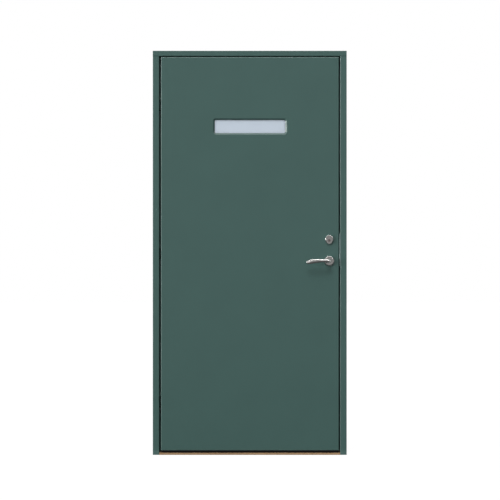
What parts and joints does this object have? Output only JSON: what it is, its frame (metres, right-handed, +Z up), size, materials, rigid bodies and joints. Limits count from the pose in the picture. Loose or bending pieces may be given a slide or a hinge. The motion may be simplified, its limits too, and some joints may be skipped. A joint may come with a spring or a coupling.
{
  "type": "entrance door with frame",
  "caption": "Smooth painted entrance door leaf with a small glazed slot, hung on concealed hinges in its frame over an oak threshold, with lever handles, latch and dead bolt.",
  "frame": {"origin": "centre of the frame's underside, at the bottom of the overall box, in the leaf's mid-plane", "axes": "+Z up, +X to the lock side, -Y to the outside, the side the leaf opens to"},
  "size_m": [0.998, 0.1806, 2.08],
  "materials": {
    "painted_wood": "satin",
    "oak": "satin",
    "timber": "matte",
    "insulation": "matte",
    "seal_rubber": "matte",
    "sweep_rubber": "matte",
    "glass": "satin",
    "spacer_metal": "satin",
    "zinc": "satin",
    "steel": "satin",
    "washer_plastic": "matte",
    "box_plastic": "matte",
    "satin_chrome": "satin"
  },
  "bodies": {
    "frame": {"hinge_jamb": "painted_wood", "lock_jamb": "painted_wood", "frame_head": "painted_wood", "hinge_stop": "painted_wood", "lock_stop": "painted_wood", "head_stop": "painted_wood", "threshold": "oak", "hinge_jamb_seal": "seal_rubber", "lock_jamb_seal": "seal_rubber", "head_seal": "seal_rubber", "threshold_seal": "seal_rubber", "strike_plate": "zinc", "strike_box": "box_plastic", "frame_plate_screws": "steel", "hinge_housing_lower": "zinc", "hinge_housing_middle": "zinc", "hinge_housing_upper": "zinc", "hinge_pins": "steel", "hinge_washers": "washer_plastic", "frame_sleeves": "zinc", "frame_screws": "steel"},
    "leaf": {"outer_panel": "painted_wood", "inner_panel": "painted_wood", "hinge_stile": "painted_wood", "lock_stile": "painted_wood", "top_rail": "painted_wood", "bottom_rail": "painted_wood", "insulation_core": "insulation", "window_battens": "timber", "bottom_sweep": "sweep_rubber", "outer_glass_pane": "glass", "inner_glass_pane": "glass", "glass_spacer": "spacer_metal", "outer_glazing_gasket": "seal_rubber", "inner_glazing_gasket": "seal_rubber", "inner_glazing_frame": "painted_wood", "glazing_screws": "steel", "hinge_arm_lower": "zinc", "hinge_arm_middle": "zinc", "hinge_arm_upper": "zinc", "lock_case": "zinc", "lock_forend": "zinc", "leaf_plate_screws": "steel", "outside_rose": "satin_chrome", "inside_rose": "satin_chrome", "rose_bolts": "steel", "outside_cylinder_ring": "satin_chrome", "inside_cylinder_ring": "satin_chrome", "outside_cylinder": "satin_chrome", "cylinder_screws": "steel"},
    "levers": {"outside_lever": "satin_chrome", "inside_lever": "satin_chrome", "lever_spindle": "zinc", "lever_hub": "zinc"},
    "latch": {"latch_bolt": "steel"},
    "lock_turn": {"thumb_turn": "satin_chrome", "bolt_cam": "zinc"},
    "bolt": {"dead_bolt": "steel"},
    "plug": {"key_plug": "satin_chrome"}
  },
  "joints": [
    {"name": "leaf_swing", "type": "hinge", "parent": "frame", "child": "leaf", "pos_m": [-0.4815, -0.017, 1.0355], "axis": [0, 0, -1], "range_deg": [0, 100]},
    {"name": "lever_turn", "type": "hinge", "parent": "leaf", "child": "levers", "pos_m": [0.4092, 0, 0.9985], "axis": [0, -1, 0], "range_deg": [0, 40], "stiffness_Nm_per_rad": 1.2, "springref_deg": -40.11},
    {"name": "latch_slide", "type": "slide", "parent": "leaf", "child": "latch", "axis": [-1, 0, 0], "range_m": [0, 0.011]},
    {"name": "bolt_turn", "type": "hinge", "parent": "leaf", "child": "lock_turn", "pos_m": [0.4092, 0, 1.1035], "axis": [0, -1, 0], "range_deg": [0, 90]},
    {"name": "bolt_slide", "type": "slide", "parent": "leaf", "child": "bolt", "axis": [1, 0, 0], "range_m": [0, 0.02]},
    {"name": "plug_turn", "type": "hinge", "parent": "leaf", "child": "plug", "pos_m": [0.4092, 0, 1.1035], "axis": [0, -1, 0], "range_deg": [0, 90]}
  ],
  "couplings": [
    {"joint": "latch_slide", "follows": "lever_turn", "m_per_rad": 0.01575},
    {"joint": "bolt_turn", "follows": "bolt_slide", "rad_per_m": 78.53},
    {"joint": "plug_turn", "follows": "bolt_slide", "rad_per_m": 78.53}
  ]
}
